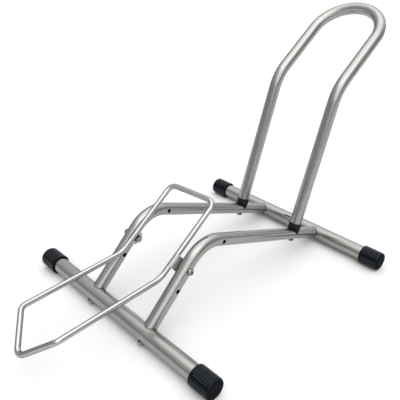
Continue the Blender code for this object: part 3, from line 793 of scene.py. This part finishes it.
rod_zinc = zinc_on_tube("bright_rod", dark=(0.37, 0.37, 0.365), light=(0.45, 0.45, 0.445), roughness=0.12,
                        grain=0.000008, rim=0.15)
rod_half = ROCKER_WIDTH / 2
rod_way = slope(ROCKER_REAR_ANGLE)
rod_over = slope(ROCKER_REAR_ANGLE + math.pi / 2)
rod_bend = pivot + rod_over * ROD_OVER_PIVOT - rod_way * PIVOT_BEHIND_BEND
rod_rear = [beside(rod_bend + rod_way * ROCKER_REAR_LEG[side], sign * rod_half)
            for side, sign in SIDES.items()]
rod_front = rod_bend + slope(math.pi + ROCKER_FRONT_ANGLE) * ROCKER_FRONT_LEG
rod_tip = rod_front + slope(math.pi + ROCKER_V_ANGLE) * ROCKER_V_DEPTH
corners = [beside(rod_tip, 0.0)]
corners += [beside(corner, rod_half) for corner in (rod_front, rod_bend)] + rod_rear
corners += [beside(corner, -rod_half) for corner in (rod_bend, rod_front)]
one_side = [ROCKER_FRONT_RADIUS, ROCKER_MIDDLE_RADIUS, ROCKER_REAR_RADIUS]
line = bent(corners, [ROCKER_TIP_RADIUS] + one_side + one_side[::-1])

shape = bmesh.new()
rings = laid(shape, line, ROD_RADIUS, ROD_SIDES, closed=True)
offset = min(range(ROD_SIDES), key=lambda index: (rings[-1][0].co - rings[0][index].co).length)
skin(shape, rings[-1], rings[0][offset:] + rings[0][:offset])
rod = settle("rocker_rod", shape, rod_zinc)
round_off(rod, line, closed=True)
put(rod, "rocker", "bright_rod", "rocker")


# Lugs: two pieces of thick strip whose top edge curls round the rod and is welded along it by a short run of
# beads, plated over with the rod. The lug's plating is coloured lighter than the rod's, as painted light, and
# the beads' darker, as painted shade along the seam where lug and rod meet. The rounded lower end hangs
# beside the side tube and takes the pivot bolt.
LUG_LENGTH = 0.026
LUG_THICKNESS = 0.0035
LUG_DROP = 0.0090
LUG_CORNER_RADIUS = 0.0070
LUG_CURL = math.radians(68.0)
LUG_EDGE = 0.0005
LUG_HOLE_SIDES = 48
BEAD_SPACING = 0.0042
BEAD_RADIUS = 0.0013
BEAD_ANGLE = math.radians(84.0)
BEAD_NECK = 0.60
BEAD_OVER_ROD = 0.0006
BEAD_DRIFT = 0.00018
BEAD_DRIFT_RATE = 1900.0
BEAD_TIP = 0.02
BEAD_TAPER_POWER = 8
BEAD_STEPS = 72
BEAD_SIDES = 20

# Painted light: the lug's plating, coloured lighter than the same plating on the rod.
lug_zinc_painted_light = zinc_on_fixing("lug_painted_light", dark=(0.47, 0.47, 0.465), light=(0.59, 0.59, 0.58), roughness=0.55)
# Painted shade: the beads' plating, coloured darker than the rod's, for the shade along the seam.
weld_zinc_painted_shade = zinc_on_fixing("weld_painted_shade", dark=(0.12, 0.12, 0.115), light=(0.34, 0.34, 0.33), roughness=0.14)
lug_face = side_offset - side_radius - SEAT
lug_place = Matrix.Translation(pivot) @ Matrix.Rotation(-ROCKER_REAR_ANGLE, 4, "Y")

for side, sign in SIDES.items():
    inner_face = lug_face - LUG_THICKNESS
    bed = ROD_RADIUS + SEAT
    half = LUG_LENGTH / 2
    section = [(lug_face, -LUG_DROP)]
    for out, up in arc(lug_face - rod_half, 0.0, LUG_CURL, steps=10):
        section.append((rod_half + out, ROD_OVER_PIVOT + up))
    meeting = -math.acos(min(1.0, (inner_face - rod_half) / bed))
    for out, up in arc(bed, LUG_CURL, meeting, steps=16):
        section.append((rod_half + out, ROD_OVER_PIVOT + up))
    section.append((inner_face, -LUG_DROP))
    outline = [Vector((-half, sign * out, up)) for out, up in section]
    shape = drawn_out(outline, Vector((LUG_LENGTH, 0.0, 0.0)))
    lug = settle("bent_lug_" + side, shape, lug_zinc_painted_light)
    over = ROD_OVER_PIVOT + 2 * ROD_RADIUS
    corners = [Vector((half, 0.0, over)), Vector((-half, 0.0, over)), Vector((-half, 0.0, -LUG_DROP)),
               Vector((half, 0.0, -LUG_DROP))]
    stamp = bent(corners, [0.0, 0.0, LUG_CORNER_RADIUS, LUG_CORNER_RADIUS], step=math.radians(7.0))
    cut(lug, settle("cutter", drawn_out(stamp, Vector((0.0, sign * 2 * lug_face, 0.0))), None), "INTERSECT")
    worked(lug, "BEVEL", width=LUG_EDGE, segments=2, limit_method="ANGLE", angle_limit=math.radians(40.0))
    cut(lug, bar(Vector(), Vector((0.0, sign * 2 * lug_face, 0.0)), BOLT_HOLE / 2, LUG_HOLE_SIDES))
    worked(lug, "WEIGHTED_NORMAL", keep_sharp=True)
    lug.data.transform(lug_place)
    put(lug, "rocker", "bright_rod", "rocker_lug_" + side)

    run = LUG_LENGTH - BEAD_SPACING
    rows = []
    shape = bmesh.new()
    for index in range(BEAD_STEPS + 1):
        along = run * (index / BEAD_STEPS - 0.5)
        swell = BEAD_NECK + (1.0 - BEAD_NECK) * abs(math.cos(math.pi * along / BEAD_SPACING))
        taper = math.sqrt(max(0.0, 1.0 - (2 * along / run) ** BEAD_TAPER_POWER)) + BEAD_TIP
        drift = BEAD_DRIFT * math.sin(along * BEAD_DRIFT_RATE)
        centre_out = ROD_RADIUS + BEAD_OVER_ROD + drift
        middle = Vector((along, sign * (rod_half + centre_out * math.cos(BEAD_ANGLE)),
                         ROD_OVER_PIVOT + centre_out * math.sin(BEAD_ANGLE)))
        size = BEAD_RADIUS * swell * taper
        ring = [middle + Vector((0.0, math.cos(angle), math.sin(angle))) * size for angle in even(BEAD_SIDES)]
        rows.append([shape.verts.new(lug_place @ point) for point in ring])
    shape.faces.new(rows[0])
    shape.faces.new(rows[-1])
    for first, second in zip(rows, rows[1:]):
        skin(shape, first, second)
    weld = settle("weld_" + side, shape, weld_zinc_painted_shade, sharp=math.radians(60.0))
    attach(weld, "rocker")


# Pivots: a bolt on each side passes through the side tube and the lug, with a washer and a locking nut
# inside. The nut's round collar holds a pale nylon ring that grips the thread: the rocker turns but stays on.
WASHER_DIAMETER = 0.016
WASHER_THICKNESS = 0.0012
NUT_WIDTH = 0.013
NUT_HEIGHT = 0.0068
NUT_COLLAR_DIAMETER = 0.0112
NUT_COLLAR_HEIGHT = 0.0016
NUT_CHAMFER = math.radians(30.0)
NUT_FACE_SHARE = 0.97
NUT_STEPS = 12
NUT_SIDES = 96
NYLON_DIAMETER = 0.0100
NYLON_HEIGHT = 0.0022
NYLON_BELOW_TOP = 0.0003
NYLON_GAP = 0.0001
NYLON_DARK = (0.62, 0.62, 0.60)
NYLON_LIGHT = (0.74, 0.74, 0.71)

nylon = finish_of("nylon_ring", {"Metallic": 0.0})
spot = nylon.node("TexCoord", {}, {}, "Object")
grain = nylon.node("TexNoise", {}, {"Vector": spot, "Scale": 900.0, "Detail": 2.0})
nylon.show({"Base Color": two_tone(nylon, grain, NYLON_DARK, NYLON_LIGHT),
            "Roughness": 0.35 + grain * 0.15,
            "Normal": nylon.node("Bump", {}, {"Strength": 0.3, "Distance": 0.00003, "Height": grain})})


def nut_side(height):
    """The nut's radius at a height, as a function of the angle: a hexagon whose corners are turned away."""
    shoulder = NUT_HEIGHT - NUT_COLLAR_HEIGHT
    corner = NUT_WIDTH / math.sqrt(3)
    flats = hexagon(NUT_WIDTH)
    near_face = min(height, shoulder - height)
    cone = NUT_WIDTH / 2 * NUT_FACE_SHARE + near_face / math.tan(NUT_CHAMFER)
    return lambda angle: min(flats(angle), cone, corner)


for side, sign in SIDES.items():
    inward = Vector((0.0, -sign, 0.0))
    seat = beside(pivot, sign * (side_offset + side_radius + SEAT))
    washer_seat = beside(pivot, sign * (lug_face - LUG_THICKNESS - SEAT))
    nut_seat = washer_seat + inward * (WASHER_THICKNESS + SEAT)
    edge = WASHER_THICKNESS / 4
    rows = [(BOLT_HOLE / 2, 0.0), (WASHER_DIAMETER / 2 - edge, 0.0), (WASHER_DIAMETER / 2, edge),
            (WASHER_DIAMETER / 2, WASHER_THICKNESS - edge), (WASHER_DIAMETER / 2 - edge, WASHER_THICKNESS),
            (BOLT_HOLE / 2, WASHER_THICKNESS)]
    washer = turned("flat_washer_" + side, rows, even(ROUND_SIDES), fixing_zinc, aimed(inward, washer_seat))
    put(washer, "stand", "zinc_fixings", "pivot_washer_" + side)

    shoulder = NUT_HEIGHT - NUT_COLLAR_HEIGHT
    collar = NUT_COLLAR_DIAMETER / 2
    lip = NUT_COLLAR_HEIGHT / 2
    rows = [(BOLT_HOLE / 2, 0.0)]
    for index in range(NUT_STEPS + 1):
        height = shoulder * (0.5 - 0.5 * math.cos(math.pi * index / NUT_STEPS))
        rows.append((nut_side(height), height))
    rows += [(collar, shoulder), (collar, NUT_HEIGHT - lip)]
    for out, up in arc(lip, 0.0, math.pi / 2, steps=6)[1:]:
        rows.append((collar - lip + out, NUT_HEIGHT - lip + up))
    rows += [(NYLON_DIAMETER / 2, NUT_HEIGHT), (NYLON_DIAMETER / 2, NUT_HEIGHT - NYLON_HEIGHT)]
    rows.append((BOLT_HOLE / 2, NUT_HEIGHT - NYLON_HEIGHT))
    nut_place = aimed(inward, nut_seat)
    nut = turned("locking_nut_" + side, rows, even(NUT_SIDES), fixing_zinc, nut_place,
                 sharp=math.radians(25.0))
    put(nut, "stand", "zinc_fixings", "pivot_nut_" + side)

    inner = BOLT_DIAMETER / 2 + NYLON_GAP
    outer = NYLON_DIAMETER / 2 - NYLON_GAP
    top = NUT_HEIGHT - NYLON_BELOW_TOP
    bottom = NUT_HEIGHT - NYLON_HEIGHT + NYLON_GAP
    rows = [(inner, bottom), (outer, bottom), (outer, top), (inner, top)]
    ring = turned("nylon_ring_" + side, rows, even(ROUND_SIDES), nylon.owner, nut_place)
    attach(ring, "stand")
    length = (nut_seat - seat).length + NUT_HEIGHT
    bolt("pivot_socket_bolt_" + side, seat, inward, length, "pivot_bolt_" + side)


# Floor: a plain pale sheet of painted board, laid flat, that runs out well beyond the view on every side. It
# carries the stand's soft shadow.
FLOOR_HALF = 40.0
FLOOR_DARK = (0.675, 0.675, 0.675)
FLOOR_LIGHT = (0.685, 0.685, 0.685)

board = finish_of("pale_floor", {})
spot = board.node("TexCoord", {}, {}, "Object")
mottle = board.node("TexNoise", {}, {"Vector": spot, "Scale": 6.0, "Detail": 4.0})
board.show({"Base Color": two_tone(board, mottle, FLOOR_DARK, FLOOR_LIGHT),
            "Roughness": 0.85 + mottle * 0.10,
            "Normal": board.node("Bump", {}, {"Strength": 0.05, "Distance": 0.0002, "Height": mottle})})
shape = bmesh.new()
corners = [Vector((x * FLOOR_HALF, y * FLOOR_HALF, 0.0)) for x, y in ((-1, -1), (1, -1), (1, 1), (-1, 1))]
shape.faces.new([shape.verts.new(corner) for corner in corners])
settle("floor", shape, board.owner)


# Light: a plain studio, pale grey all round, under one wide soft white ceiling that comes lower over the
# entry side and, more faintly, behind. The walls grow lighter as they rise, and are dimmest low on the right.
WALL_FOOT = 0.46
WALL_RISE = 0.56
WALL_SPAN = (math.radians(6.0), math.radians(90.0))
CEILING = 1.30
CEILING_SPAN = (math.radians(45.0), math.radians(70.0))
ENTRY_LIGHT = 1.3
ENTRY_WAY = (math.radians(-125.0), math.radians(45.0))
ENTRY_SPREAD = (math.radians(44.0), math.radians(14.0))
REAR_LIGHT = 0.60
REAR_WAY = (math.radians(18.0), math.radians(32.0))
REAR_SPREAD = (math.radians(52.0), math.radians(12.0))
DIM_SHARE = 0.15
DIM_WAY = (math.radians(-63.0), math.radians(0.0))
DIM_SPREAD = (math.radians(40.0), math.radians(4.0))

studio = Finish(bpy.data.worlds.new("studio"), "Background", {"Color": (1.0, 1.0, 1.0, 1.0)})
looked_at = studio.node("TexCoord", {}, {}, "Generated")
upward = studio.node("SeparateXYZ", {}, {0: looked_at}, "Z")


def eased(value, start, end):
    """0 to 1 by a smooth step, as a value goes from a start to an end."""
    return studio.node("MapRange", {"interpolation_type": "SMOOTHSTEP"},
                       {"Value": value, "From Min": start, "From Max": end})


def patch(toward, spread):
    """How much of a soft round patch of the studio a direction meets, from 0 outside it to 1 within."""
    azimuth, elevation = toward
    centre = Vector((math.cos(azimuth) * math.cos(elevation), math.sin(azimuth) * math.cos(elevation),
                     math.sin(elevation)))
    nearness = studio.node("VectorMath", {"operation": "DOT_PRODUCT"}, {0: looked_at, 1: centre}, "Value")
    return eased(nearness, math.cos(spread[0]), math.cos(spread[1]))


wall = WALL_FOOT + WALL_RISE * eased(upward, math.sin(WALL_SPAN[0]), math.sin(WALL_SPAN[1]))
wall = wall * (1.0 - DIM_SHARE * patch(DIM_WAY, DIM_SPREAD))
ceiling = CEILING * eased(upward, math.sin(CEILING_SPAN[0]), math.sin(CEILING_SPAN[1]))
screens = ENTRY_LIGHT * patch(ENTRY_WAY, ENTRY_SPREAD) + REAR_LIGHT * patch(REAR_WAY, REAR_SPREAD)
studio.show({"Strength": wall + ceiling + screens})
bpy.context.scene.world = studio.owner


# Camera: as the picture was taken, with a normal lens, from the right of the entry side and above. The stand
# fills the picture from corner to corner.
CAMERA_PLACE = Vector((-0.677182, -0.613575, 0.653325))
CAMERA_TURN = [math.radians(angle) for angle in (61.7075, -1.8992, -44.4764)]
CAMERA_LENS = 46.986
CAMERA_SENSOR = 36.0

camera = bpy.data.objects.new("camera", bpy.data.cameras.new("camera"))
camera.location = CAMERA_PLACE
camera.rotation_euler = CAMERA_TURN
camera.data.lens = CAMERA_LENS
camera.data.sensor_width = CAMERA_SENSOR
bpy.context.scene.collection.objects.link(camera)
bpy.context.scene.camera = camera
bpy.context.scene.view_settings.view_transform = "Standard"
